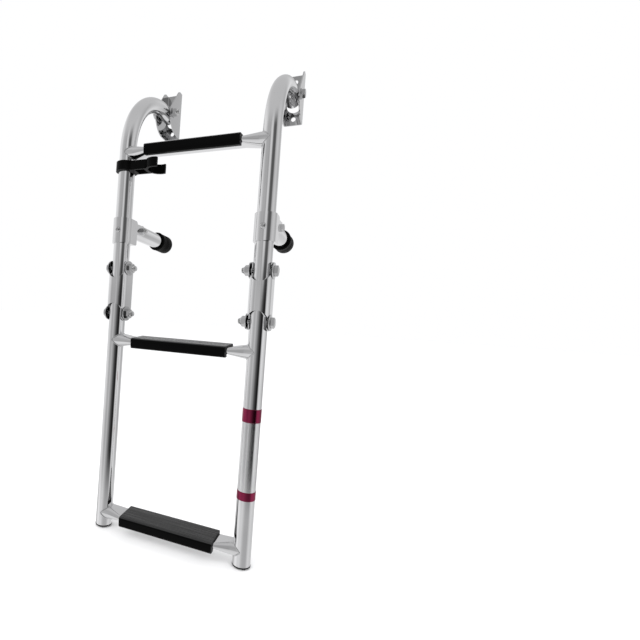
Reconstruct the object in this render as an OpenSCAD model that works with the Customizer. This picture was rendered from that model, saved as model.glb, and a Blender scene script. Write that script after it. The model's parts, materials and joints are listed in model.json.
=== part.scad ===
// Three-step folding boarding ladder with transom hooks.
// Millimetres. X runs along the rungs, +Y points into the transom, +Z is up.
// The origin is the centre of the four bracket screw holes, on the transom face.

/* [Tubes] */
// Outside diameter of every stringer, leg and standoff tube
tube_d = 25.4; // [25:0.1:26]
// Wall thickness of the tubes
tube_wall = 1.2; // [0.9:0.1:2]
// Distance between the two stringer axes
stringer_gap = 224; // [200:1:300]

/* [Hook section] */
// Radius of the quarter bend, on the tube axis
hook_r = 115; // [90:1:150]
// Straight tube between the bend and the pivot bolt
hook_straight = 3; // [1:0.5:20]
// Tube that runs on behind the pivot bolt
hook_overrun = 17; // [14:0.5:19]
// Distance from the start of the bend down to the top rung
bend_to_rung = 5; // [0:0.5:20]
// Distance from the top rung down to the upper hinge bolts
rung_to_hinge = 178; // [172:1:220]

/* [Lower section] */
// Distance between the upper and lower hinge bolts
hinge_pitch = 70; // [70:0.5:80]
// Distance from the lower hinge bolts down to the middle rung
hinge_to_rung = 41.5; // [40:0.5:60]
// Distance from the middle rung down to the bottom rung
step_pitch = 270.5; // [240:0.5:300]
// Leg tube below the bottom rung
leg_below_rung = 20; // [18:0.5:60]
// Tube that runs on past each hinge bolt
stub = 27; // [24:0.5:27]

/* [Rungs and treads] */
// Half length of the pressed flat middle of a rung
flat_half = 74; // [60:0.5:80]
// Where the taper of a rung ends, from the middle
taper_end = 98; // [86:0.5:98]
// Width of the flattened tube
flat_w = 30; // [26:0.5:34]
// Thickness of the flattened tube
flat_t = 9; // [8:0.5:10]
// Height of a rung's ends
rung_end_h = 19; // [16:0.5:22]
// Angle of the rungs and treads: the front edge is lower
tread_tilt = 5; // [0:0.5:8]
// Half length of a tread cover
tread_half = 73.5; // [60:0.5:74]
// Number of grip ribs along a tread
tread_ribs = 13; // [8:1:14]

/* [Brackets] */
// Distance from the pivot bolt to the transom face
bolt_to_plate = 35; // [33:0.5:42]
// Height of the pivot bolt above the bracket's middle
pivot_z = -8; // [-10:0.5:0]
// Height of a bracket
bracket_h = 82; // [76:0.5:90]
// Vertical distance between the two screw holes of a bracket
screw_pitch = 62; // [56:0.5:64]
// Diameter of the screw holes
screw_hole_d = 7.5; // [6:0.5:8]

/* [Sheet metal] */
// Sheet thickness of brackets, straps and clamps
sheet = 2; // [1.5:0.1:2.5]
// Side gap between a tube and the sheet around it
side_gap = 0.6; // [0.5:0.05:0.8]

/* [Standoffs] */
// Height of the clamp sleeve
sleeve_h = 38.5; // [34:0.5:44]
// Distance from the top rung down to the top of the sleeve
rung_to_sleeve = 101; // [60:1:107]
// Distance from the stringer axis back to the standoff's cross bolt
standoff_pivot = 35; // [34.5:0.5:42]
// Outside diameter of the rubber pad
pad_d = 32; // [30:0.5:34]
// Length of the rubber pad
pad_len = 38; // [30:0.5:44]

/* [Fold clip] */
// Height of the clip
clip_h = 14; // [12:0.5:22]
// Distance between the stringer and the leg when the leg is in the clip
clip_reach = 53.2; // [50:0.1:58]
// Distance from the top rung down to the clip's middle
rung_to_clip = 21.5; // [20:0.5:34]

/* [Fasteners] */
// Thread diameter of the hinge and pivot bolts
bolt_d = 8; // [6:0.5:8]
// Width across the flats of their heads and nuts
hex_af = 13; // [10:0.5:13]
// Thread diameter of the standoff bolts
standoff_bolt_d = 6; // [5:0.5:6]
// Outside diameter of the hinge washers
washer_d = 22.5; // [18:0.5:24]

/* [Hidden] */
$fn = 64;

steel = [0.80, 0.81, 0.83];
dark_plastic = [0.06, 0.06, 0.065];
rubber = [0.09, 0.09, 0.095];
maroon = [0.45, 0.04, 0.13];

left = -1;
right = 1;
eps = 0.5;
tube_r = tube_d / 2;
bore_r = tube_r - tube_wall;
stringer_x = stringer_gap / 2;

// Heights of the main features, from the middle of the brackets
bend_z = pivot_z - hook_r;
top_rung_z = bend_z - bend_to_rung;
upper_hinge_z = top_rung_z - rung_to_hinge;
lower_hinge_z = upper_hinge_z - hinge_pitch;
middle_rung_z = lower_hinge_z - hinge_to_rung;
bottom_rung_z = middle_rung_z - step_pitch;
leg_end_z = bottom_rung_z - leg_below_rung;

// Places along Y, from the transom face
pivot_y = -bolt_to_plate;
bend_y = pivot_y - hook_straight;
stringer_y = bend_y - hook_r;

// Sheet metal around a tube
sheet_in = tube_r + side_gap;
sheet_out = sheet_in + sheet;
bracket_bend_r = 1;
strap_bend_r = 10.5;
clamp_half = sheet_out - 0.1;

// Fasteners: holes in the same body as the bolt, and the free-turning ones
bolt_r = bolt_d / 2;
fixed_gap = 0.02;
turn_gap = 0.08;
hole_r = bolt_r + fixed_gap;
pivot_hole_r = bolt_r + turn_gap;
head_h = 5.3;
nut_h = 6.5;
collar_h = 1.8;
thread_end = 3;
washer_t = 1.6;
bolt_grip = sheet_out + washer_t;
standoff_bolt_r = standoff_bolt_d / 2;
standoff_size = standoff_bolt_d / bolt_d;

// Caps on open tube ends
cap_flange = 1.5;
cap_dome = 1.5;
cap_plug = 12;
cap_r = tube_r + 0.15;

// Tread section, from the rung's axis
tread_front = -20.5;
tread_back = 18.8;
tread_top = 7.0;
rib_h = 0.4;
front_lip = -8.5;
back_lip = -1;
lip_front_in = -11;
flat_gap = 0.2;
tread_corner = 3.2;

// Bracket cheek outline, seen from the side
cheek_front = -45.5;
cheek_nose_r = 32.5;
cheek_centre_y = -13.5;
cheek_centre_z = -9.5;
cheek_front_top = [-44.6, -1.5];
cheek_shoulder = [-16, 38.6];
cheek_top_front = -12;
cutout_r = 12.3;

// Strap
strap_depth = 13.8;
strap_ear = 11.5;
notch_r = 15.2;

// Standoff
sleeve_top_z = top_rung_z - rung_to_sleeve;
sleeve_mid_z = sleeve_top_z - sleeve_h / 2;
standoff_z = sleeve_mid_z + 8;
standoff_y = stringer_y + standoff_pivot;
standoff_front = 13.5;
pad_floor = 4;
pad_round = 4;
sleeve_bore_r = tube_r + 0.08;
ear_r = 8.5;
ear_top_y = 15;
sheet_gap = 0.4;

// Clip
clip_z = top_rung_z - rung_to_clip;
clip_ring_r = 16.8;
clip_jaw_in = 14.1;
clip_jaw_out = 17.6;
clip_jaw_wrap = 6.5;
clip_body_half = 11;
clip_wall = 3;

// Label on the right leg
label_top_z = top_rung_z - 365.5;
label_h = 124.5;
label_t = 0.25;
label_wrap = 300;

// Turns a shape that is built along +Z so that it runs along +X
module along_x() {
    rotate([0, 90, 0]) children();
}

// Turns a shape that is built along +Z so that it runs along +Y
module along_y() {
    rotate([-90, 0, 0]) children();
}

// Extrudes a side view, drawn as (Y, Z), symmetrically along X
module side_view(width) {
    rotate([90, 0, 90]) translate([0, 0, -width / 2]) linear_extrude(width) children();
}

// Rectangle between two corners, with rounded corners
module round_rect(x0, y0, x1, y1, r) {
    translate([x0 + r, y0]) square([x1 - x0 - 2 * r, y1 - y0]);
    translate([x0, y0 + r]) square([x1 - x0, y1 - y0 - 2 * r]);
    for (x = [x0 + r, x1 - r], y = [y0 + r, y1 - r])
        translate([x, y]) circle(r);
}

// Cylinder along X, centred on x = 0
module cross_rod(r, y, z, length = 80) {
    translate([-length / 2, y, z]) along_x() cylinder(r = r, h = length);
}

// Places a sub-part on the left or right stringer
module on_side(side) {
    translate([side * stringer_x, 0, 0]) children();
}

// Hexagon prism with its outer corners chamfered, from z = 0 up
module hex_prism(h, af) {
    corner_r = af / sqrt(3);
    intersection() {
        cylinder(r = corner_r, h = h, $fn = 6);
        union() {
            cylinder(r = corner_r + eps, h = h - 1);
            translate([0, 0, h - 1]) cylinder(r1 = corner_r + 0.2, r2 = corner_r - 1, h = 1);
        }
    }
}

// Bolt across a pair of cheeks: head on the outer side of the ladder
module cross_bolt(side, y, z, grip = bolt_grip, size = 1) {
    length = 2 * grip + size * (nut_h + collar_h + thread_end);
    color(steel) on_side(side) translate([0, y, z]) mirror([side == left ? 1 : 0, 0, 0])
        along_x() {
            translate([0, 0, grip - length]) cylinder(r = size * bolt_r, h = length);
            translate([0, 0, grip]) hex_prism(size * head_h, size * hex_af);
        }
}

// Lock nut on the inner side of the ladder
module cross_nut(side, y, z, grip = bolt_grip, size = 1) {
    color(steel) on_side(side) translate([0, y, z]) mirror([side == left ? 1 : 0, 0, 0])
        difference() {
            translate([-grip, 0, 0]) rotate([0, -90, 0]) {
                hex_prism(size * nut_h, size * hex_af);
                translate([0, 0, size * nut_h])
                    cylinder(r1 = size * hex_af / 2 - 0.8, r2 = size * bolt_r + 0.9, h = size * collar_h);
            }
            cross_rod(size * bolt_r + fixed_gap, 0, 0);
        }
}

// The two washers of one cross bolt
module cross_washers(side, y, z, d) {
    color(steel) on_side(side) translate([0, y, z])
        for (x = [-bolt_grip, sheet_out])
            translate([x, 0, 0]) along_x() difference() {
                cylinder(d = d, h = washer_t);
                translate([0, 0, -eps]) cylinder(r = hole_r, h = washer_t + 2 * eps);
            }
}

// Plan view of a U of sheet: an open channel that faces -Y, with its web at y = 0
module channel_plan(depth, bend_r) {
    difference() {
        round_rect(-sheet_out, -depth, sheet_out, 0, bend_r + sheet);
        round_rect(-sheet_in, -depth - sheet, sheet_in, -sheet, bend_r);
        translate([-sheet_in, -depth - eps]) square([2 * sheet_in, depth / 2]);
    }
    for (x = [-sheet_out, sheet_in])
        translate([x, -depth]) square([sheet, bend_r + sheet + eps]);
}

// Side view of a bracket's cheek, from the transom face at y = 0
module cheek_outline() {
    half = bracket_h / 2;
    difference() {
        polygon([
            [0, -half], [cheek_front, -half], [cheek_front, cheek_centre_z], cheek_front_top,
            cheek_shoulder, [cheek_top_front, half], [0, half]
        ]);
        difference() {
            translate([cheek_centre_y - 2 * cheek_nose_r, cheek_centre_z - 2 * cheek_nose_r])
                square(2 * cheek_nose_r);
            translate([cheek_centre_y, cheek_centre_z]) circle(cheek_nose_r);
        }
    }
}

module bracket(side) {
    color(steel) on_side(side) difference() {
        intersection() {
            translate([0, 0, -bracket_h]) linear_extrude(2 * bracket_h) channel_plan(50, bracket_bend_r);
            side_view(100) cheek_outline();
        }
        for (z = [-screw_pitch / 2, screw_pitch / 2])
            translate([0, -sheet - eps, z]) along_y() cylinder(d = screw_hole_d, h = sheet + 2 * eps);
        translate([0, -sheet - eps, pivot_z]) along_y() cylinder(r = cutout_r, h = sheet + 2 * eps);
        cross_rod(hole_r, pivot_y, pivot_z);
    }
}

// Path of the hook tube as a solid bar of radius r
module hook_bar(r, bottom_z, extra) {
    translate([0, stringer_y, bottom_z]) cylinder(r = r, h = bend_z - bottom_z);
    translate([0, bend_y, bend_z]) rotate([90, 0, -90])
        rotate_extrude(angle = 90) translate([hook_r, 0]) circle(r);
    translate([0, bend_y, pivot_z]) along_y() cylinder(r = r, h = hook_straight + hook_overrun + extra);
}

module hook_tube(side) {
    color(steel) on_side(side) difference() {
        hook_bar(tube_r, upper_hinge_z - stub, 0);
        hook_bar(bore_r, upper_hinge_z - stub - eps, eps);
        cross_rod(pivot_hole_r, stringer_y, upper_hinge_z);
        cross_rod(pivot_hole_r, pivot_y, pivot_z);
    }
}

// Domed plug in the back end of a hook tube
module hook_plug(side) {
    end_y = pivot_y + hook_overrun;
    dome = 3.2;
    color(steel) on_side(side) translate([0, end_y, pivot_z]) along_y() {
        translate([0, 0, -8]) cylinder(r = bore_r - 0.02, h = 8);
        end_dome(tube_r, dome);
    }
}

// Shallow spherical dome of height h on a disc of radius r
module end_dome(r, h) {
    ball_r = (r * r + h * h) / (2 * h);
    intersection() {
        translate([0, 0, h - ball_r]) sphere(ball_r);
        cylinder(r = r, h = h + eps);
    }
}

// Plastic cap, with its flange at z = 0 and its plug below
module end_cap() {
    color(dark_plastic) {
        translate([0, 0, -cap_plug]) cylinder(r = bore_r - 0.02, h = cap_plug);
        cylinder(r = cap_r, h = cap_flange);
        translate([0, 0, cap_flange]) end_dome(cap_r, cap_dome);
    }
}

module leg_tube(side) {
    top_z = lower_hinge_z + stub;
    color(steel) on_side(side) difference() {
        translate([0, stringer_y, leg_end_z]) difference() {
            cylinder(r = tube_r, h = top_z - leg_end_z);
            translate([0, 0, -eps]) cylinder(r = bore_r, h = top_z - leg_end_z + 2 * eps);
        }
        cross_rod(pivot_hole_r, stringer_y, lower_hinge_z);
    }
}

// Section of a rung with height h and width w, drawn as (Z, Y)
module rung_section(h, w) {
    square([h, w - h], center = true);
    for (s = [-1, 1]) translate([0, s * (w - h) / 2]) circle(h / 2);
}

// Rung as a solid bar: pressed flat in the middle, taller at the stringers
module rung_bar(shrink, length) {
    flat = [flat_t, flat_w] - 2 * shrink * [1, 1];
    tall = [rung_end_h, tube_d - 0.1] - 2 * shrink * [1, 1];
    translate([-flat_half, 0, 0]) along_x() linear_extrude(2 * flat_half) rung_section(flat.x, flat.y);
    for (s = [-1, 1]) {
        hull() {
            translate([s * flat_half, 0, 0]) along_x()
                linear_extrude(0.1, center = true) rung_section(flat.x, flat.y, $fn = 32);
            translate([s * taper_end, 0, 0]) along_x()
                linear_extrude(0.1, center = true) rung_section(tall.x, tall.y, $fn = 32);
        }
        translate([s > 0 ? taper_end : -length, 0, 0]) along_x()
            linear_extrude(length - taper_end) rung_section(tall.x, tall.y);
    }
}

module rung(z) {
    color(steel) translate([0, stringer_y, z]) difference() {
        rotate([tread_tilt, 0, 0]) difference() {
            rung_bar(0, stringer_x);
            rung_bar(tube_wall, stringer_x + eps);
        }
        for (s = [-1, 1]) translate([s * stringer_x, 0, -30]) cylinder(r = tube_r, h = 60);
    }
}

// Section of a tread cover, drawn as (Y, Z)
module tread_section() {
    pitch = (tread_back - tread_front - 7) / (tread_ribs - 1);
    difference() {
        union() {
            round_rect(tread_front, front_lip, tread_back, tread_top, tread_corner);
            for (i = [0 : tread_ribs - 1])
                translate([tread_front + 3.5 + i * pitch - 0.65, tread_top - 0.5])
                    square([1.3, rib_h + 0.5]);
        }
        round_rect(-flat_w / 2 - flat_gap, -flat_t / 2 - flat_gap, flat_w / 2 + flat_gap,
                   flat_t / 2 + flat_gap, flat_t / 2);
        translate([lip_front_in, front_lip - eps]) square([-lip_front_in + eps, -front_lip + eps]);
        translate([0, front_lip - eps]) square([tread_back + eps, back_lip - front_lip + eps]);
    }
}

module tread(z) {
    color(dark_plastic) translate([0, stringer_y, z]) rotate([tread_tilt, 0, 0])
        side_view(2 * tread_half) tread_section();
}

// Side view of a strap's ears and sides, drawn as (Y, Z) about the upper bolt
module strap_outline() {
    side_mid = (strap_depth - sheet_out) / 2;
    side_r = (strap_depth + sheet_out) / 2;
    inset = side_r - strap_ear;
    translate([-sheet_out, -hinge_pitch + inset]) square([2 * side_r, hinge_pitch - 2 * inset]);
    for (z = [-inset, -hinge_pitch + inset]) translate([side_mid, z]) circle(side_r);
}

module strap(side) {
    reach = hinge_pitch + 4 * strap_ear;
    web = sheet + strap_bend_r + eps;
    color(steel) on_side(side) translate([0, stringer_y, upper_hinge_z]) difference() {
        intersection() {
            translate([0, -sheet_out, -hinge_pitch - 2 * strap_ear])
                linear_extrude(reach) mirror([0, 1])
                    channel_plan(sheet_out + strap_depth, strap_bend_r);
            side_view(100) strap_outline();
        }
        for (z = [0, -hinge_pitch]) cross_rod(hole_r, 0, z);
        intersection() {
            translate([-sheet_in, -sheet_out - eps, -hinge_pitch - 2 * strap_ear])
                cube([2 * sheet_in, web, reach]);
            union() {
                for (z = [0, -hinge_pitch])
                    translate([0, -sheet_out - eps, z]) along_y() cylinder(r = notch_r, h = web);
                for (z = [0, -hinge_pitch - 2 * strap_ear])
                    translate([-2 * sheet_in, -sheet_out - eps, z])
                        cube([4 * sheet_in, web, 2 * strap_ear]);
            }
        }
    }
}

// Plan view of the clamp: a round front around the stringer and two flat sides
module sleeve_plan() {
    length = standoff_pivot + 2 * ear_r;
    difference() {
        union() {
            circle(sheet_out);
            translate([-clamp_half, 0]) square([2 * clamp_half, length]);
        }
        circle(sleeve_bore_r);
        translate([-sheet_in, sheet_out + sheet_gap]) square([2 * sheet_in, length]);
    }
}

// Side view of the clamp's sides, tall at the stringer and narrow at the cross bolt
module sleeve_side() {
    half = sleeve_h / 2;
    lift = standoff_z - sleeve_mid_z;
    ear_in = [standoff_pivot + 3, ear_r - 0.8];
    polygon([
        [-sheet_out - eps, -half], [-sheet_out - eps, half], [ear_top_y, half],
        [ear_top_y + 3, half - 2], [ear_top_y + 3, lift + ear_in.y - 0.3],
        [standoff_pivot, lift + ear_in.y], ear_in + [0, lift - 0.5],
        [ear_in.x, lift - ear_in.y + 0.5], [ear_top_y + 3, lift - ear_r - 1],
        [ear_top_y + 3, 2 - half], [ear_top_y, -half]
    ]);
}

module sleeve(side) {
    lift = standoff_z - sleeve_mid_z;
    color(steel) on_side(side) translate([0, stringer_y, sleeve_mid_z]) difference() {
        intersection() {
            translate([0, 0, -sleeve_h]) linear_extrude(2 * sleeve_h) sleeve_plan();
            union() {
                side_view(100) sleeve_side();
                cross_rod(ear_r, standoff_pivot, lift);
            }
        }
        cross_rod(standoff_bolt_r + fixed_gap, standoff_pivot, lift);
        translate([0, -sheet_out - eps, 0]) along_y() cylinder(d = 5.04, h = 2 * sheet);
    }
}

// Pan-head set screw in the front of the clamp
module set_screw(side) {
    tip_y = stringer_y - tube_r - 0.3;
    head_y = stringer_y - sheet_out;
    color(steel) on_side(side) translate([0, 0, sleeve_mid_z]) difference() {
        union() {
            translate([0, head_y, 0]) along_y() cylinder(d = 5, h = tip_y - head_y);
            translate([0, head_y, 0]) rotate([90, 0, 0]) end_dome(4.6, 2.8);
        }
        for (a = [0, 90])
            translate([0, head_y - 2.8, 0]) rotate([0, a, 0]) cube([5.2, 2.4, 1], center = true);
    }
}

module standoff_bolt(side) {
    cross_bolt(side, standoff_y, standoff_z, clamp_half, standoff_size);
}

module standoff_nut(side) {
    cross_nut(side, standoff_y, standoff_z, clamp_half, standoff_size);
}

module standoff_tube(side) {
    length = -standoff_y + standoff_front - pad_floor;
    color(steel) on_side(side) difference() {
        translate([0, standoff_y - standoff_front, standoff_z]) along_y() difference() {
            cylinder(r = tube_r, h = length);
            translate([0, 0, -eps]) cylinder(r = bore_r, h = length + 2 * eps);
        }
        cross_rod(standoff_bolt_r + turn_gap, standoff_y, standoff_z);
    }
}

// Rubber cup over the back end of a standoff, with a rounded rim at the transom
module standoff_pad(side) {
    pad_r = pad_d / 2;
    color(rubber) on_side(side) translate([0, 0, standoff_z]) along_y() difference() {
        rotate_extrude() {
            translate([0, -pad_len]) square([pad_r, pad_len - pad_round]);
            translate([0, -pad_round]) square([pad_r - pad_round, pad_round]);
            translate([pad_r - pad_round, -pad_round]) circle(pad_round);
        }
        translate([0, 0, -pad_len - eps]) cylinder(r = tube_r + 0.02, h = pad_len - pad_floor + eps);
    }
}

// Plan view of the clip: a ring on the stringer and an open jaw for the folded leg
module clip_plan() {
    difference() {
        union() {
            circle(clip_ring_r);
            translate([0, -clip_body_half]) square([clip_reach - clip_jaw_in, 2 * clip_body_half]);
            translate([clip_reach, 0]) circle(clip_jaw_out);
        }
        circle(sleeve_bore_r);
        translate([clip_reach, 0]) circle(clip_jaw_in);
        translate([clip_reach + clip_jaw_wrap, -clip_jaw_out - eps])
            square([clip_jaw_out, 2 * clip_jaw_out + 2 * eps]);
    }
}

module fold_clip() {
    pocket_x = clip_ring_r + 1.5;
    pocket_len = clip_reach - clip_jaw_out - 1.5 - pocket_x;
    pocket_w = 2 * (clip_body_half - clip_wall);
    color(dark_plastic) on_side(left) translate([0, stringer_y, clip_z - clip_h / 2]) difference() {
        linear_extrude(clip_h) clip_plan();
        translate([pocket_x, -pocket_w / 2, -clip_wall]) cube([pocket_len, pocket_w, clip_h]);
    }
}

// Clear sleeve with a coloured band at each end, wrapped round the right leg
module leg_label() {
    color(maroon) on_side(right) translate([0, stringer_y, label_top_z - label_h])
        rotate([0, 0, 90 - label_wrap / 2 + 180])
            rotate_extrude(angle = label_wrap)
                translate([tube_r + 0.02, 0]) square([label_t, label_h]);
}

// Cap on the stub of a hook tube, a leg's top or a leg's foot
module placed_cap(side, z, up) {
    on_side(side) translate([0, stringer_y, z]) mirror([0, 0, up ? 0 : 1]) end_cap();
}

bracket(left);  // left_bracket
bracket(right);  // right_bracket
cross_bolt(left, pivot_y, pivot_z);  // left_pivot_bolt
cross_bolt(right, pivot_y, pivot_z);  // right_pivot_bolt
cross_nut(left, pivot_y, pivot_z);  // left_pivot_nut
cross_nut(right, pivot_y, pivot_z);  // right_pivot_nut
cross_washers(left, pivot_y, pivot_z, 16);  // left_pivot_washers
cross_washers(right, pivot_y, pivot_z, 16);  // right_pivot_washers
hook_tube(left);  // left_hook_tube
hook_tube(right);  // right_hook_tube
hook_plug(left);  // left_hook_plug
hook_plug(right);  // right_hook_plug
placed_cap(left, upper_hinge_z - stub, false);  // left_stub_cap
placed_cap(right, upper_hinge_z - stub, false);  // right_stub_cap
rung(top_rung_z);  // top_rung
tread(top_rung_z);  // top_tread
strap(left);  // left_strap
strap(right);  // right_strap
cross_bolt(left, stringer_y, upper_hinge_z);  // left_upper_hinge_bolt
cross_bolt(right, stringer_y, upper_hinge_z);  // right_upper_hinge_bolt
cross_bolt(left, stringer_y, lower_hinge_z);  // left_lower_hinge_bolt
cross_bolt(right, stringer_y, lower_hinge_z);  // right_lower_hinge_bolt
cross_nut(left, stringer_y, upper_hinge_z);  // left_upper_hinge_nut
cross_nut(right, stringer_y, upper_hinge_z);  // right_upper_hinge_nut
cross_nut(left, stringer_y, lower_hinge_z);  // left_lower_hinge_nut
cross_nut(right, stringer_y, lower_hinge_z);  // right_lower_hinge_nut
cross_washers(left, stringer_y, upper_hinge_z, washer_d);  // left_upper_washers
cross_washers(right, stringer_y, upper_hinge_z, washer_d);  // right_upper_washers
cross_washers(left, stringer_y, lower_hinge_z, washer_d);  // left_lower_washers
cross_washers(right, stringer_y, lower_hinge_z, washer_d);  // right_lower_washers
leg_tube(left);  // left_leg_tube
leg_tube(right);  // right_leg_tube
placed_cap(left, lower_hinge_z + stub, true);  // left_leg_top_cap
placed_cap(right, lower_hinge_z + stub, true);  // right_leg_top_cap
placed_cap(left, leg_end_z, false);  // left_foot_cap
placed_cap(right, leg_end_z, false);  // right_foot_cap
rung(middle_rung_z);  // middle_rung
tread(middle_rung_z);  // middle_tread
rung(bottom_rung_z);  // bottom_rung
tread(bottom_rung_z);  // bottom_tread
leg_label();
sleeve(left);  // left_sleeve
sleeve(right);  // right_sleeve
set_screw(left);  // left_set_screw
set_screw(right);  // right_set_screw
standoff_bolt(left);  // left_standoff_bolt
standoff_bolt(right);  // right_standoff_bolt
standoff_nut(left);  // left_standoff_nut
standoff_nut(right);  // right_standoff_nut
standoff_tube(left);  // left_standoff_tube
standoff_tube(right);  // right_standoff_tube
standoff_pad(left);  // left_standoff_pad
standoff_pad(right);  // right_standoff_pad
fold_clip();
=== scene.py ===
"""Looks of the folding boarding ladder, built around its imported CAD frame.

Units are metres, in the CAD frame: +X along the rungs, +Y into the transom, +Z up.
"""

import json
import math

import bmesh
import bpy
from mathutils import Matrix, Vector


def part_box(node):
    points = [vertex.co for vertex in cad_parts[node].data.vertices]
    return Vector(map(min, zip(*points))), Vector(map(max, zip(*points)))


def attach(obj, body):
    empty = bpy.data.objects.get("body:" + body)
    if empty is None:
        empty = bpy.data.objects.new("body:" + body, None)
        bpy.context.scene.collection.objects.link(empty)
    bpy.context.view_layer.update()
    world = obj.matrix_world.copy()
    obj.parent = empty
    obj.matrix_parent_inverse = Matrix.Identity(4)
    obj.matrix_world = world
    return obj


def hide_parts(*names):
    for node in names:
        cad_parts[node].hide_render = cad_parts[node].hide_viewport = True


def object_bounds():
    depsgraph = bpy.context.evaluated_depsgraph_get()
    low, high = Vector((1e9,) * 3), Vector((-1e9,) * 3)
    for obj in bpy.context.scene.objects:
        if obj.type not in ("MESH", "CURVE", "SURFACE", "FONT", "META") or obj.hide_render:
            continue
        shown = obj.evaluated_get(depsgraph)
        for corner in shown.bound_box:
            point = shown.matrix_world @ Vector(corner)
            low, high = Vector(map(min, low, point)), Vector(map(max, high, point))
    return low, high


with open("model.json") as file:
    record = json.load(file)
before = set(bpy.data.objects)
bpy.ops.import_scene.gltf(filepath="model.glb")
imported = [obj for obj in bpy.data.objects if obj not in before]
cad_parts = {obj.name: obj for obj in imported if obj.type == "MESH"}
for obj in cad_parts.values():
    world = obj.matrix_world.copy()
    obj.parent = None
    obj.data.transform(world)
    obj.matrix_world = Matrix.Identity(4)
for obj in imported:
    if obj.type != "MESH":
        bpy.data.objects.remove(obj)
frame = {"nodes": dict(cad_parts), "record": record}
CAD_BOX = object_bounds()

MM = 0.001
TAU = 2 * math.pi
SIDES = ("left", "right")
NODES = frame["nodes"]
RECORD = frame["record"]
BODY_OF = {node: body for body, nodes in RECORD["behaviour"]["bodies"].items() for node in nodes}

# ---------------------------------------------------------------- measures from the frame


def middle(node):
    """Centre of a CAD node's box."""
    low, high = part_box(node)
    return (low + high) / 2


def extent(node):
    """Size of a CAD node's box."""
    low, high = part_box(node)
    return high - low


TUBE_R = extent("left_leg_tube").x / 2
STRINGER_X = middle("right_leg_tube").x
STRINGER_Y = middle("right_leg_tube").y

# ---------------------------------------------------------------- camera, light and floor

CAMERA_AT = (0.2385, -0.7135, -0.3803)
CAMERA_YAW = math.radians(23.14)
CAMERA_PITCH = math.radians(1.03)
CAMERA_ROLL = math.radians(3.93)
CAMERA_LENS_MM = 23.34
CAMERA_SENSOR_MM = 36.0
CAMERA_SHIFT = (0.2162, 0.0118)

# Brightness of the studio by compass angle (degrees from -Y towards +X): low, level and high up
STUDIO = [
    (-180, 0.85, 0.85, 0.5), (-110, 0.5, 0.85, 0.9), (-75, 1.0, 0.8, 0.85), (-55, 0.95, 0.6, 0.6),
    (-40, 0.8, 0.45, 0.48), (-18, 0.8, 0.6, 0.48), (-5, 0.7, 0.4, 0.4), (8, 0.56, 0.3, 0.75),
    (20, 0.5, 0.13, 0.7), (32, 0.48, 0.06, 0.16), (46, 0.48, 0.015, 0.1), (62, 0.48, 0.02, 0.14),
    (72, 0.6, 0.65, 0.5), (88, 0.78, 0.9, 0.65), (104, 0.78, 0.8, 0.68), (124, 0.7, 0.65, 0.55),
    (142, 0.7, 0.42, 0.5), (165, 0.85, 0.7, 0.85), (180, 0.85, 0.85, 0.5),
]
# Heights, as the sine of the elevation, between which one zone blends into the next
LOW_TO_LEVEL = (-0.43, -0.3)
LEVEL_TO_HIGH = (0.03, 0.2)
HIGH_TO_CEILING = (0.5, 0.85)
GROUND_TO_LOW = (-0.8, -0.55)
STUDIO_BLUE = 1.01
CEILING = 0.6
GROUND = 0.8
BACKGROUND = 1.0
DAYLIGHT = 1.3
FLOOR_HALF = 30.0
FLOOR_GAP = 0.5 * MM
# Soft lights: name, place, size and power
LIGHTS = (("key_light", (-1.1, -1.7, 1.0), 1.2, 18), ("fill_light", (1.7, -1.2, 0.1), 0.9, 6))
LIGHT_TARGET = (0, -0.1, -0.35)


def make_camera():
    """Camera at the catalogue view: close, a little to the right, almost level."""
    fwd = Vector((
        -math.sin(CAMERA_YAW) * math.cos(CAMERA_PITCH),
        math.cos(CAMERA_YAW) * math.cos(CAMERA_PITCH),
        -math.sin(CAMERA_PITCH),
    ))
    level = Vector((math.cos(CAMERA_YAW), math.sin(CAMERA_YAW), 0))
    upright = level.cross(fwd)
    right = math.cos(CAMERA_ROLL) * level + math.sin(CAMERA_ROLL) * upright
    up = right.cross(fwd)
    data = bpy.data.cameras.new("camera")
    data.lens = CAMERA_LENS_MM
    data.sensor_width = CAMERA_SENSOR_MM
    data.shift_x, data.shift_y = CAMERA_SHIFT
    data.clip_start = 0.01
    camera = bpy.data.objects.new("camera", data)
    turn = Matrix((right, up, -fwd)).transposed().to_4x4()
    camera.matrix_world = Matrix.Translation(CAMERA_AT) @ turn
    bpy.context.scene.collection.objects.link(camera)
    bpy.context.scene.camera = camera


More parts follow.
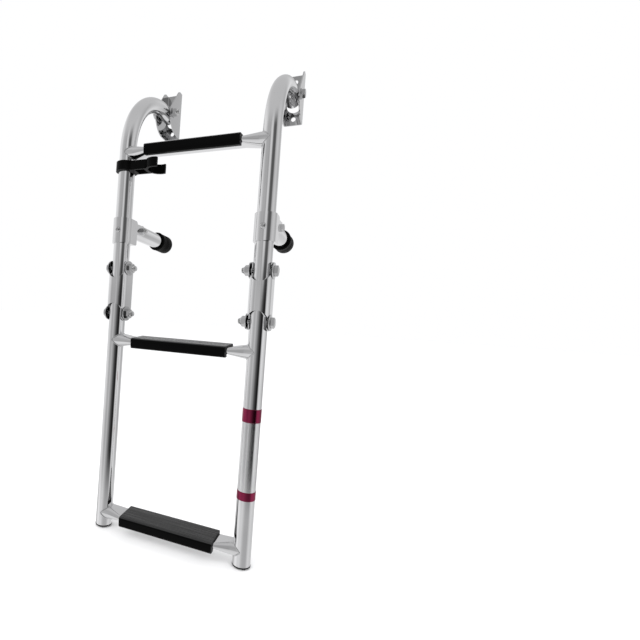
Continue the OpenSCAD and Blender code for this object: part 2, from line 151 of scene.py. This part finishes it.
def make_studio():
    """White studio whose walls have soft bright and dark zones for the steel to reflect."""
    world = bpy.data.worlds.new("studio")
    bpy.context.scene.world = world
    world.use_nodes = True
    tree = world.node_tree
    nodes, links = tree.nodes, tree.links
    nodes.clear()
    coords = nodes.new("ShaderNodeTexCoord")
    split = nodes.new("ShaderNodeSeparateXYZ")
    links.new(coords.outputs["Generated"], split.inputs[0])
    back = nodes.new("ShaderNodeMath")
    back.operation = "MULTIPLY"
    back.inputs[1].default_value = -1.0
    links.new(split.outputs["Y"], back.inputs[0])
    compass = nodes.new("ShaderNodeMath")
    compass.operation = "ARCTAN2"
    links.new(split.outputs["X"], compass.inputs[0])
    links.new(back.outputs[0], compass.inputs[1])
    turn = nodes.new("ShaderNodeMapRange")
    turn.inputs["From Min"].default_value = -math.pi
    turn.inputs["From Max"].default_value = math.pi
    links.new(compass.outputs[0], turn.inputs["Value"])

    def grey(value):
        return (value, value, value * STUDIO_BLUE)

    def zone(column):
        return color_ramp(tree, turn.outputs[0], [
            ((row[0] + 180) / 360, grey(row[column])) for row in STUDIO])

    def blend(below, above, heights):
        rise = nodes.new("ShaderNodeMapRange")
        rise.interpolation_type = "SMOOTHSTEP"
        rise.inputs["From Min"].default_value, rise.inputs["From Max"].default_value = heights
        links.new(split.outputs["Z"], rise.inputs["Value"])
        return choose(below, above, rise.outputs[0])

    def choose(first, second, share):
        mix = nodes.new("ShaderNodeMixRGB")
        links.new(share, mix.inputs["Fac"])
        for socket, color in (("Color1", first), ("Color2", second)):
            if isinstance(color, float):
                mix.inputs[socket].default_value = (*grey(color), 1)
            else:
                links.new(color, mix.inputs[socket])
        return mix.outputs[0]

    around = blend(GROUND, zone(1), GROUND_TO_LOW)
    around = blend(around, zone(2), LOW_TO_LEVEL)
    around = blend(around, zone(3), LEVEL_TO_HIGH)
    around = blend(around, CEILING, HIGH_TO_CEILING)
    path = nodes.new("ShaderNodeLightPath")
    around = choose(around, DAYLIGHT, path.outputs["Is Diffuse Ray"])
    around = choose(around, BACKGROUND, path.outputs["Is Camera Ray"])
    shader = nodes.new("ShaderNodeBackground")
    links.new(around, shader.inputs["Color"])
    output = nodes.new("ShaderNodeOutputWorld")
    links.new(shader.outputs[0], output.inputs["Surface"])


def make_light(name, at, size, power):
    """Square soft light that shapes the matt parts. The steel reflects the studio only."""
    data = bpy.data.lights.new(name, "AREA")
    data.size = size
    data.energy = power
    light = bpy.data.objects.new(name, data)
    light.location = at
    aim = Vector(LIGHT_TARGET) - Vector(at)
    light.rotation_euler = aim.to_track_quat("-Z", "Y").to_euler()
    light.visible_glossy = False
    bpy.context.scene.collection.objects.link(light)


def make_floor():
    """Plain pale floor just under the feet."""
    low = CAD_BOX[0]
    mesh = bpy.data.meshes.new("floor")
    corners = [(-1, -1), (1, -1), (1, 1), (-1, 1)]
    z = low[2] - FLOOR_GAP
    mesh.from_pydata([(x * FLOOR_HALF, y * FLOOR_HALF, z) for x, y in corners], [], [(0, 1, 2, 3)])
    floor = bpy.data.objects.new("floor", mesh)
    bpy.context.scene.collection.objects.link(floor)
    material, tree, bsdf = new_material("floor_paint")
    grain = noise(tree, 3.0, (1, 1, 1), 2.0)
    link_input(tree, color_ramp(tree, grain, [(0.3, (0.9, 0.9, 0.9)), (0.7, (0.93, 0.93, 0.93))]),
               bsdf, "Base Color")
    bsdf.inputs["Roughness"].default_value = 0.9
    bsdf.inputs["Specular IOR Level"].default_value = 0.1
    mesh.materials.append(material)
    floor.visible_glossy = False


# ---------------------------------------------------------------- materials


def new_material(name):
    """New material, its node tree and its Principled shader."""
    material = bpy.data.materials.new(name)
    material.use_nodes = True
    tree = material.node_tree
    return material, tree, tree.nodes["Principled BSDF"]


def link_input(tree, output, bsdf, socket):
    tree.links.new(output, bsdf.inputs[socket])


def noise(tree, scale, stretch=(1, 1, 1), detail=3.0, roughness=0.5):
    """Noise in object space. A small stretch along an axis draws it out along that axis."""
    coords = tree.nodes.new("ShaderNodeTexCoord")
    mapping = tree.nodes.new("ShaderNodeMapping")
    mapping.inputs["Scale"].default_value = stretch
    texture = tree.nodes.new("ShaderNodeTexNoise")
    texture.inputs["Scale"].default_value = scale
    texture.inputs["Detail"].default_value = detail
    texture.inputs["Roughness"].default_value = roughness
    tree.links.new(coords.outputs["Object"], mapping.inputs["Vector"])
    tree.links.new(mapping.outputs[0], texture.inputs["Vector"])
    return texture.outputs["Fac"]


def color_ramp(tree, value, stops):
    """Colours by value. stops are (position, (r, g, b))."""
    ramp = tree.nodes.new("ShaderNodeValToRGB")
    elements = ramp.color_ramp.elements
    while len(elements) > 1:
        elements.remove(elements[-1])
    elements[0].position = stops[0][0]
    elements[0].color = (*stops[0][1], 1)
    for position, color in stops[1:]:
        elements.new(position).color = (*color, 1)
    tree.links.new(value, ramp.inputs[0])
    return ramp.outputs["Color"]


def spread(tree, value, low, high):
    """Value mapped from the middle of the noise's range to low..high."""
    node = tree.nodes.new("ShaderNodeMapRange")
    node.inputs["From Min"].default_value = 0.3
    node.inputs["From Max"].default_value = 0.7
    node.inputs["To Min"].default_value = low
    node.inputs["To Max"].default_value = high
    tree.links.new(value, node.inputs["Value"])
    return node.outputs[0]


def add_bump(tree, bsdf, height, strength, distance):
    """Bump from a height output."""
    bump = tree.nodes.new("ShaderNodeBump")
    bump.inputs["Strength"].default_value = strength
    bump.inputs["Distance"].default_value = distance
    tree.links.new(height, bump.inputs["Height"])
    tree.links.new(bump.outputs[0], bsdf.inputs["Normal"])


STEEL_DIM = 0.93
STEEL_BLUE = 1.005
STEEL_LINE_DEPTH = 0.004 * MM


def steel(name, draw, bright=0.8, rough=(0.03, 0.07)):
    """Polished stainless steel. draw is small along the polishing lines."""
    material, tree, bsdf = new_material(name)
    bsdf.inputs["Metallic"].default_value = 1.0
    cloud = noise(tree, 14.0, (1, 1, 1), 2.0)
    dim = bright * STEEL_DIM
    link_input(tree, color_ramp(tree, cloud, [
        (0.35, (dim, dim, dim * STEEL_BLUE)), (0.65, (bright, bright, bright * STEEL_BLUE)),
    ]), bsdf, "Base Color")
    lines = noise(tree, 1.0, draw, 4.0, 0.6)
    link_input(tree, spread(tree, lines, *rough), bsdf, "Roughness")
    add_bump(tree, bsdf, lines, 0.05, STEEL_LINE_DEPTH)
    return material


def plastic(name, dark, light, rough, grain_scale, bump_depth, stretch=(1, 1, 1), sheen=0.05, coat=0.0):
    """Moulded or extruded plastic, with a slight grain and, if asked, a polished skin."""
    material, tree, bsdf = new_material(name)
    cloud = noise(tree, 40.0, stretch, 3.0)
    link_input(tree, color_ramp(tree, cloud, [(0.35, dark), (0.7, light)]), bsdf, "Base Color")
    grain = noise(tree, grain_scale, stretch, 3.0, 0.6)
    link_input(tree, spread(tree, grain, *rough), bsdf, "Roughness")
    bsdf.inputs["Specular IOR Level"].default_value = sheen
    if coat:
        link_input(tree, spread(tree, grain, 0.0, coat), bsdf, "Coat Weight")
        bsdf.inputs["Coat Roughness"].default_value = 0.08
    add_bump(tree, bsdf, grain, 0.35, bump_depth)
    return material


def film(name, color, alpha, metallic):
    """Glossy printed or clear film."""
    material, tree, bsdf = new_material(name)
    cloud = noise(tree, 60.0, (1, 1, 0.3), 2.0)
    shade = tuple(c * 0.85 for c in color)
    link_input(tree, color_ramp(tree, cloud, [(0.4, shade), (0.6, color)]), bsdf, "Base Color")
    link_input(tree, spread(tree, cloud, 0.16, 0.24), bsdf, "Roughness")
    bsdf.inputs["Alpha"].default_value = alpha
    bsdf.inputs["Metallic"].default_value = metallic
    return material


ALONG_Z = (700, 700, 9)
ALONG_X = (9, 700, 700)
ALL_WAYS = (260, 260, 260)
ROLLED = (500, 500, 60)
TUBE_STEEL = steel("tube_steel", ALONG_Z)
RUNG_STEEL = steel("rung_steel", ALONG_X)
SHEET_STEEL = steel("sheet_steel", ROLLED, 0.78, (0.05, 0.08))
BRACKET_STEEL = steel("bracket_steel", ROLLED, 0.58, (0.05, 0.08))
FASTENER_STEEL = steel("fastener_steel", ALL_WAYS, 0.6, (0.07, 0.12))
WELD_STEEL = steel("weld_steel", ALL_WAYS, 0.62, (0.2, 0.36))
CAP_PLASTIC = plastic("cap_plastic", (0.001,) * 3, (0.0025,) * 3, (0.3, 0.42), 900, 0.03 * MM)
TREAD_PLASTIC = plastic(
    "tread_plastic", (0.0008,) * 3, (0.002,) * 3, (0.28, 0.42), 500, 0.02 * MM, (0.06, 1, 1))
TREAD_TOP = plastic(
    "tread_top", (0.001,) * 3, (0.004,) * 3, (0.08, 0.4), 260, 0.01 * MM, (0.03, 1, 1), sheen=0.5,
    coat=1.0)
CLIP_PLASTIC = plastic("clip_plastic", (0.0008,) * 3, (0.002,) * 3, (0.25, 0.36), 900, 0.03 * MM)
PAD_RUBBER = plastic("pad_rubber", (0.001,) * 3, (0.004,) * 3, (0.4, 0.55), 1400, 0.05 * MM)
INSERT_NYLON = plastic(
    "insert_nylon", (0.5, 0.5, 0.48), (0.6, 0.6, 0.58), (0.4, 0.5), 900, 0.02 * MM, sheen=0.4)
MAROON_FILM = film("maroon_film", (0.3, 0.03, 0.085), 1.0, 1.0)
CLEAR_FILM = film("clear_film", (0.6, 0.6, 0.6), 0.025, 0.0)

# ---------------------------------------------------------------- mesh helpers


def finish_mesh(mesh, sharp_deg=40):
    """Smooth shading that stays crisp at edges over the given angle."""
    mesh.polygons.foreach_set("use_smooth", [True] * len(mesh.polygons))
    mesh.set_sharp_from_angle(angle=math.radians(sharp_deg))
    mesh.update()


def new_piece(name, mesh, material, body, replaced=()):
    """Object for a finished mesh, riding on a body."""
    mesh.materials.clear()
    mesh.materials.append(material)
    piece = bpy.data.objects.new(name, mesh)
    bpy.context.scene.collection.objects.link(piece)
    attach(piece, body)
    if replaced:
        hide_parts(*replaced)
    return piece


def node_piece(name, mesh, material, node):
    """Piece that stands for one CAD node."""
    return new_piece(name, mesh, material, BODY_OF[node], (node,))


def grid_mesh(name, rings, closed_ends=True, sharp_deg=40):
    """Mesh through closed rings of equal length, each a list of points."""
    count = len(rings[0])
    points = [p for ring in rings for p in ring]
    faces = []
    for i in range(len(rings) - 1):
        for j in range(count):
            k = (j + 1) % count
            faces.append((i * count + j, i * count + k, (i + 1) * count + k, (i + 1) * count + j))
    if closed_ends:
        faces.append(tuple(reversed(range(count))))
        faces.append(tuple((len(rings) - 1) * count + j for j in range(count)))
    mesh = bpy.data.meshes.new(name)
    mesh.from_pydata([tuple(p) for p in points], [], faces)
    face_outwards(mesh)
    finish_mesh(mesh, sharp_deg)
    return mesh


def loop_mesh(name, rings):
    """Closed tube through rings that come back to the first one."""
    mesh = grid_mesh(name, rings + [rings[0]], closed_ends=False)
    weld_mesh(mesh, 0.001 * MM)
    face_outwards(mesh)
    finish_mesh(mesh)
    return mesh


def weld_mesh(mesh, distance):
    bm = bmesh.new()
    bm.from_mesh(mesh)
    bmesh.ops.remove_doubles(bm, verts=bm.verts, dist=distance)
    bm.to_mesh(mesh)
    bm.free()


def face_outwards(mesh):
    bm = bmesh.new()
    bm.from_mesh(mesh)
    bmesh.ops.recalc_face_normals(bm, faces=bm.faces)
    bm.to_mesh(mesh)
    bm.free()


def bevelled(mesh, width, segments=2, limit_deg=30, sharp_deg=40):
    """The mesh with its edges rounded, and normals that keep flat faces flat."""
    holder = bpy.data.objects.new("bevel_holder", mesh)
    bpy.context.scene.collection.objects.link(holder)
    bevel = holder.modifiers.new("bevel", "BEVEL")
    bevel.width = width
    bevel.segments = segments
    bevel.limit_method = "ANGLE"
    bevel.angle_limit = math.radians(limit_deg)
    finish_mesh(mesh, sharp_deg)
    weighted = holder.modifiers.new("weighted", "WEIGHTED_NORMAL")
    weighted.keep_sharp = True
    view = bpy.context.evaluated_depsgraph_get()
    result = bpy.data.meshes.new_from_object(holder.evaluated_get(view))
    bpy.data.objects.remove(holder)
    return result


def softened(node, width, material, segments=2):
    """Piece with a CAD node's shape, whose sharp edges are rounded."""
    mesh = NODES[node].data.copy()
    for attribute in ("custom_normal", "sharp_face", "sharp_edge"):
        if attribute in mesh.attributes:
            mesh.attributes.remove(mesh.attributes[attribute])
    bm = bmesh.new()
    bm.from_mesh(mesh)
    bmesh.ops.remove_doubles(bm, verts=bm.verts, dist=0.002 * MM)
    bmesh.ops.dissolve_limit(bm, angle_limit=math.radians(0.4), verts=bm.verts, edges=bm.edges)
    bm.to_mesh(mesh)
    bm.free()
    mesh = bevelled(mesh, width, segments)
    return node_piece(node + "_soft", mesh, material, node)


def circle_points(radius, count, start=0.0):
    """Points on a circle, as (cos, sin) pairs times the radius."""
    return [
        (radius * math.cos(start + TAU * i / count), radius * math.sin(start + TAU * i / count))
        for i in range(count)
    ]


def arc_points(cx, cy, radius, start_deg, end_deg, count):
    """Points on an arc, both ends included."""
    return [
        (cx + radius * math.cos(math.radians(a)), cy + radius * math.sin(math.radians(a)))
        for a in (start_deg + (end_deg - start_deg) * i / (count - 1) for i in range(count))
    ]


# ---------------------------------------------------------------- rungs

FLAT_HALF = 74 * MM
TAPER_END = 98 * MM
FLAT_T = 9 * MM
FLAT_W = 30 * MM
END_H = 19 * MM
END_W = 25.3 * MM
TILT = math.radians(5)
RUNG_POINTS = 64
RUNG_SINK = 0.2 * MM
FLAT_STATIONS = 4
TAPER_STATIONS = 14
WELD_R = 0.9 * MM
WELD_SINK = 0.25
WELD_SPREAD = 1.35
WELD_RIPPLE = 0.1


def tilted(y, z, centre_z):
    """Place of a rung's or tread's section point: the section leans, front edge down."""
    return (STRINGER_Y + y * math.cos(TILT) - z * math.sin(TILT),
            centre_z + y * math.sin(TILT) + z * math.cos(TILT))


def rung_section(x, centre_z, count=RUNG_POINTS):
    """Flattened-tube section at a distance from the middle, as (y, z) points."""
    press = 1 - max(0.0, abs(x) - FLAT_HALF) / (TAPER_END - FLAT_HALF)
    half_h = (END_H + (FLAT_T - END_H) * press) / 2
    half_w = (END_W + (FLAT_W - END_W) * press) / 2
    points = []
    for y, z in circle_points(1.0, count, TAU / (2 * count)):
        shift = math.copysign(half_w - half_h, y)
        points.append(tilted(shift + half_h * y, half_h * z, centre_z))
    return points


def saddle(sign, centre_z, count, sink=0.0):
    """Line where a rung's end meets its stringer."""
    line = []
    for y, z in rung_section(TAPER_END, centre_z, count):
        bulge = math.sqrt(max(0.0, TUBE_R ** 2 - (y - STRINGER_Y) ** 2))
        line.append(Vector((sign * (STRINGER_X - bulge + sink), y, z)))
    return line


def make_rung(node):
    """Rung tube: coped to the stringers and pressed flat in the middle."""
    z0 = middle(node).z
    xs = [FLAT_HALF * i / FLAT_STATIONS for i in range(FLAT_STATIONS)]
    taper = TAPER_END - FLAT_HALF
    xs += [FLAT_HALF + taper * i / TAPER_STATIONS for i in range(TAPER_STATIONS + 1)]
    stations = [-x for x in reversed(xs[1:])] + xs
    rings = [saddle(-1, z0, RUNG_POINTS, RUNG_SINK)]
    rings += [[(x, y, z) for y, z in rung_section(x, z0)] for x in stations]
    rings.append(saddle(1, z0, RUNG_POINTS, RUNG_SINK))
    mesh = grid_mesh(node, rings)
    node_piece(node + "_tube", mesh, RUNG_STEEL, node)
    for sign, side in zip((-1, 1), SIDES):
        make_weld(f"{node}_{side}_weld", sign, z0, BODY_OF[node])


def make_weld(name, sign, z0, body):
    """Rippled weld bead along the line where a rung meets a stringer."""
    steps, ripples, sides = 144, 40, 10
    path = saddle(sign, z0, steps)
    rings = []
    for i in range(steps):
        tangent = (path[(i + 2) % steps] - path[i - 2]).normalized()
        outward = Vector((-sign, (path[i].y - STRINGER_Y) / TUBE_R, (path[i].z - z0) / END_H))
        normal = (outward - tangent * outward.dot(tangent)).normalized()
        across = tangent.cross(normal)
        radius = WELD_R * (1 + WELD_RIPPLE * math.sin(ripples * TAU * i / steps))
        centre = path[i] - normal * WELD_SINK * WELD_R
        rings.append([
            centre + normal * a + across * b * WELD_SPREAD for a, b in circle_points(radius, sides)
        ])
    new_piece(name, loop_mesh(name, rings), WELD_STEEL, body)


# ---------------------------------------------------------------- treads

TREAD_RIBS = 13
TREAD_FRONT = -20.5 * MM
TREAD_BACK = 18.8 * MM
TREAD_TOP_Z = 7 * MM
RIB_H = 0.3 * MM
RIB_MARGIN = 3.5 * MM
RIB_EDGES = ((-1.2 * MM, 0), (-0.8 * MM, RIB_H), (0.8 * MM, RIB_H), (1.2 * MM, 0))
CORNER_END_DEG = 16
FRONT_LIP = -8.5 * MM
BACK_LIP = -1 * MM
LIP_FRONT_IN = -11 * MM
LIP_EASE = 0.5 * MM
LIP_RISE = 0.4 * MM
CORNER_R = 3.2 * MM
CORNER_STEPS = 8
GAP = 0.2 * MM
TREAD_EDGE = 0.35 * MM
TREAD_SHARP_DEG = 50
TOP_FACING = 0.6
TOP_DEPTH = 1 * MM


def tread_profile(centre_z):
    """Closed outline of the cover, as (y, z) points: ribbed top, open below and behind."""
    ease = CORNER_R
    outline = [(LIP_FRONT_IN, FRONT_LIP + LIP_RISE), (LIP_FRONT_IN - LIP_EASE, FRONT_LIP)]
    outline += arc_points(TREAD_FRONT + ease, FRONT_LIP + ease, ease, 270, 180, CORNER_STEPS)
    top_front = (TREAD_FRONT + ease, TREAD_TOP_Z - ease)
    outline += arc_points(*top_front, ease, 180, 90 + CORNER_END_DEG, CORNER_STEPS)
    first, last = TREAD_FRONT + RIB_MARGIN, TREAD_BACK - RIB_MARGIN
    ribs = []
    for rib in range(TREAD_RIBS):
        centre = first + (last - first) * rib / (TREAD_RIBS - 1)
        ribs += [(centre + y, TREAD_TOP_Z + rise) for y, rise in RIB_EDGES]
    outline += ribs[1:-1]
    top_back = (TREAD_BACK - ease, TREAD_TOP_Z - ease)
    outline += arc_points(*top_back, ease, 90 - CORNER_END_DEG, 0, CORNER_STEPS)
    outline += [(TREAD_BACK, BACK_LIP + LIP_EASE), (TREAD_BACK - LIP_EASE, BACK_LIP)]
    half_t = FLAT_T / 2 + GAP
    half_w = FLAT_W / 2 + GAP - half_t
    cut = math.degrees(math.asin(BACK_LIP / half_t))
    outline += arc_points(half_w, 0, half_t, cut, 90, 10)
    outline += arc_points(-half_w, 0, half_t, 90, 270, 14)
    outline += [(LIP_FRONT_IN, -half_t)]
    return [tilted(y, z, centre_z) for y, z in outline]


def make_tread(node):
    """Extruded tread cover: dull sides and a finely ribbed, slightly polished top."""
    low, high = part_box(node)
    axis = Vector((0, STRINGER_Y, middle(node.replace("tread", "rung")).z))
    rings = [[(x, y, z) for y, z in tread_profile(axis.z)] for x in (low.x, high.x)]
    mesh = bevelled(
        grid_mesh(node, rings), TREAD_EDGE, limit_deg=TREAD_SHARP_DEG, sharp_deg=TREAD_SHARP_DEG)
    node_piece(node + "_cover", mesh, TREAD_PLASTIC, node)
    mesh.materials.append(TREAD_TOP)
    up = Vector((0, -math.sin(TILT), math.cos(TILT)))
    for face in mesh.polygons:
        height = (face.center - axis).dot(up)
        is_top = face.normal.dot(up) > TOP_FACING and height > TREAD_TOP_Z - TOP_DEPTH
        face.material_index = int(is_top)


# ---------------------------------------------------------------- fasteners

THREAD_PITCH = 1.25 * MM
THREAD_DEPTH = 0.55 * MM
THREAD_LEN = 9 * MM
BOLT_R = 4 * MM
HEX_AF = 13 * MM
HEAD_H = 5.3 * MM
CROWN_SHARE = 0.93
CROWN_DROP = 0.55
CHAMFER = 0.3 * MM
POINT_LEN = 0.9 * MM
POINT_DROP = 0.7 * MM
RINGS_PER_TURN = 8
BOLT_STEPS = 72
INSERT_STEPS = 48
STANDOFF_SIZE = 0.75


def bolt_size(node):
    """Size of a fastener relative to the hinge bolts."""
    return STANDOFF_SIZE if "standoff" in node else 1.0


def hex_radius(angle):
    """Distance from a hinge bolt's axis to the side of its head, in a direction."""
    return HEX_AF / 2 / math.cos((angle + math.pi / 6) % (math.pi / 3) - math.pi / 6)


def make_bolt(node):
    """Hex bolt along X: chamfered head outside, rolled thread inside."""
    low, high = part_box(node)
    sign = -1 if "left" in node else 1
    size = bolt_size(node)
    y0, z0 = middle(node).y, middle(node).z
    head_x = high.x if sign > 0 else low.x
    length = (high.x - low.x) / size
    angles = [TAU * i / BOLT_STEPS for i in range(BOLT_STEPS)]
    rings = []

    def ring(depth_of, radius_of):
        rings.append([
            (head_x - sign * size * depth_of(a), y0 + size * radius_of(a) * math.cos(a),
             z0 + size * radius_of(a) * math.sin(a))
            for a in angles
        ])

    crown = HEX_AF / 2 * CROWN_SHARE
    for share in (0.0, 0.35, 0.7, 1.0):
        ring(lambda a: (hex_radius(a) - crown) * share * CROWN_DROP,
             lambda a: crown + (hex_radius(a) - crown) * share)
    ring(lambda a: HEAD_H - CHAMFER, hex_radius)
    ring(lambda a: HEAD_H, lambda a: hex_radius(a) - CHAMFER)
    ring(lambda a: HEAD_H, lambda a: BOLT_R)
    ring(lambda a: length - THREAD_LEN, lambda a: BOLT_R)
    steps = int(THREAD_LEN / (THREAD_PITCH / RINGS_PER_TURN))
    for i in range(1, steps + 1):
        along = THREAD_LEN * i / steps
        point = max(0.0, 1 - (THREAD_LEN - along) / POINT_LEN) * POINT_DROP
        start = min(1.0, along / THREAD_PITCH)

        def thread(a):
            phase = (along / THREAD_PITCH - sign * a / TAU) % 1.0
            return BOLT_R - start * THREAD_DEPTH * (1 - abs(2 * phase - 1)) - point

        ring(lambda a: length - THREAD_LEN + along, thread)
    mesh = grid_mesh(node, rings, sharp_deg=35)
    node_piece(node + "_hex", mesh, FASTENER_STEEL, node)


def make_nut_insert(node):
    """Pale locking ring inside the nut's collar."""
    low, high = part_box(node)
    sign = -1 if "left" in node else 1
    size = bolt_size(node)
    y0, z0 = middle(node).y, middle(node).z
    mouth = low.x if sign > 0 else high.x
    outer, inner, deep = BOLT_R + 0.75 * MM, BOLT_R - 0.2 * MM, 0.7 * MM
    section = [(0.05 * MM, inner), (-0.12 * MM, inner + 0.15 * MM), (-0.12 * MM, outer - 0.15 * MM),
               (0.05 * MM, outer), (deep, outer), (deep, inner)]
    rings = [
        [(mouth + sign * d, y0 + size * r * c, z0 + size * r * s) for d, r in section]
        for c, s in circle_points(1.0, INSERT_STEPS)
    ]
    name = node + "_insert"
    new_piece(name, loop_mesh(name, rings), INSERT_NYLON, BODY_OF[node])


# ---------------------------------------------------------------- turned pieces


TURN_STEPS = 96


def turned(name, profile, origin, axis):
    """Mesh of a profile of (along, radius) points turned about an axis through origin."""
    axis = Vector(axis).normalized()
    side = axis.orthogonal().normalized()
    other = axis.cross(side)
    rings = [
        [Vector(origin) + axis * d + side * c + other * s for c, s in circle_points(r, TURN_STEPS)]
        for d, r in profile
    ]
    return grid_mesh(name, rings)


def make_pad(side):
    """Rubber cup on a standoff, with a bead at its mouth and a rounded nose."""
    node = side + "_standoff_pad"
    low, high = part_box(node)
    radius = extent(node).x / 2
    origin = (middle(node).x, low.y, middle(node).z)
    length = high.y - low.y
    bead, nose, step = 1.1 * MM, 4 * MM, 0.35 * MM
    grooves, groove_pitch, groove_half, groove_floor_half = 3, 3.4 * MM, 0.8 * MM, 0.35 * MM
    groove_r = radius - step - 0.25 * MM
    profile = [(3 * MM, TUBE_R + 0.02 * MM), (0.6 * MM, TUBE_R + 0.05 * MM), (0.0, TUBE_R + 0.7 * MM)]
    profile += arc_points(bead, radius - bead + step, bead, 180, 20, 8)
    profile += [(bead * 2.2, radius - step), (bead * 3, radius - step)]
    for groove in range(grooves):
        at = length * 0.36 + groove * groove_pitch
        profile += [(at - groove_half, radius - step / 2), (at - groove_floor_half, groove_r),
                    (at + groove_floor_half, groove_r), (at + groove_half, radius - step / 2)]
    profile += [(length - nose - 1 * MM, radius)]
    profile += arc_points(length - nose, radius - nose, nose, 90, 0, 10)
    profile += [(length, radius * 0.35), (length, 0.4 * MM)]
    mesh = turned(node, profile, origin, (0, 1, 0))
    node_piece(node + "_rubber", mesh, PAD_RUBBER, node)


# ---------------------------------------------------------------- label bands

BAND_TOP_H = 18.5 * MM
BAND_LOW_H = 12 * MM
BAND_T = 0.3 * MM
FILM_T = 0.15 * MM
LABEL_GAP = 0.03 * MM
WRAP_GAP_DEG = 40
WRAP_STEPS = 100


def band_mesh(name, z_low, z_high, radius, thickness):
    """Thin sleeve round the right leg, open at the back."""
    rows = []
    start, stop = 90 + WRAP_GAP_DEG / 2, 450 - WRAP_GAP_DEG / 2
    for i in range(WRAP_STEPS + 1):
        a = math.radians(start + (stop - start) * i / WRAP_STEPS)
        section = [(radius, z_low), (radius + thickness, z_low + thickness),
                   (radius + thickness, z_high - thickness), (radius, z_high)]
        rows.append([
            (STRINGER_X + r * math.cos(a), STRINGER_Y + r * math.sin(a), z) for r, z in section
        ])
    return grid_mesh(name, rows)


def make_label():
    """Clear film round the right leg with a plain coloured band at each end."""
    node = "leg_label"
    low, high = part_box(node)
    radius = TUBE_R + LABEL_GAP
    clear = band_mesh("label_film", low.z + BAND_LOW_H, high.z - BAND_TOP_H, radius, FILM_T)
    node_piece("label_film", clear, CLEAR_FILM, node)
    for name, z_low, z_high in (
        ("label_band_top", high.z - BAND_TOP_H, high.z),
        ("label_band_low", low.z, low.z + BAND_LOW_H),
    ):
        mesh = band_mesh(name, z_low, z_high, radius, BAND_T)
        new_piece(name, mesh, MAROON_FILM, BODY_OF[node])


# ---------------------------------------------------------------- the ladder


SHEET_EDGE = 0.45 * MM
FASTENER_EDGE = 0.25 * MM
SCREW_EDGE = 0.15 * MM
CLIP_EDGE = 0.8 * MM


def dress(node, material):
    """Gives a CAD node that stays visible its finished material."""
    mesh = NODES[node].data
    mesh.materials.clear()
    mesh.materials.append(material)


def make_ladder():
    for level in ("top", "middle", "bottom"):
        make_rung(level + "_rung")
        make_tread(level + "_tread")
    for side in SIDES:
        for node in ("hook_tube", "leg_tube", "hook_plug", "standoff_tube"):
            dress(f"{side}_{node}", TUBE_STEEL)
        for node in ("stub_cap", "leg_top_cap", "foot_cap"):
            dress(f"{side}_{node}", CAP_PLASTIC)
        softened(f"{side}_bracket", SHEET_EDGE, BRACKET_STEEL)
        for node in ("strap", "sleeve"):
            softened(f"{side}_{node}", SHEET_EDGE, SHEET_STEEL)
        softened(f"{side}_set_screw", SCREW_EDGE, FASTENER_STEEL)
        for place in ("pivot", "upper_hinge", "lower_hinge", "standoff"):
            make_bolt(f"{side}_{place}_bolt")
            softened(f"{side}_{place}_nut", FASTENER_EDGE, FASTENER_STEEL)
            make_nut_insert(f"{side}_{place}_nut")
        for place in ("pivot", "upper", "lower"):
            softened(f"{side}_{place}_washers", FASTENER_EDGE, FASTENER_STEEL)
        make_pad(side)
    softened("fold_clip", CLIP_EDGE, CLIP_PLASTIC, 3)
    make_label()


bpy.context.scene.view_settings.view_transform = "Standard"
make_camera()
make_studio()
for light in LIGHTS:
    make_light(*light)
make_floor()
make_ladder()
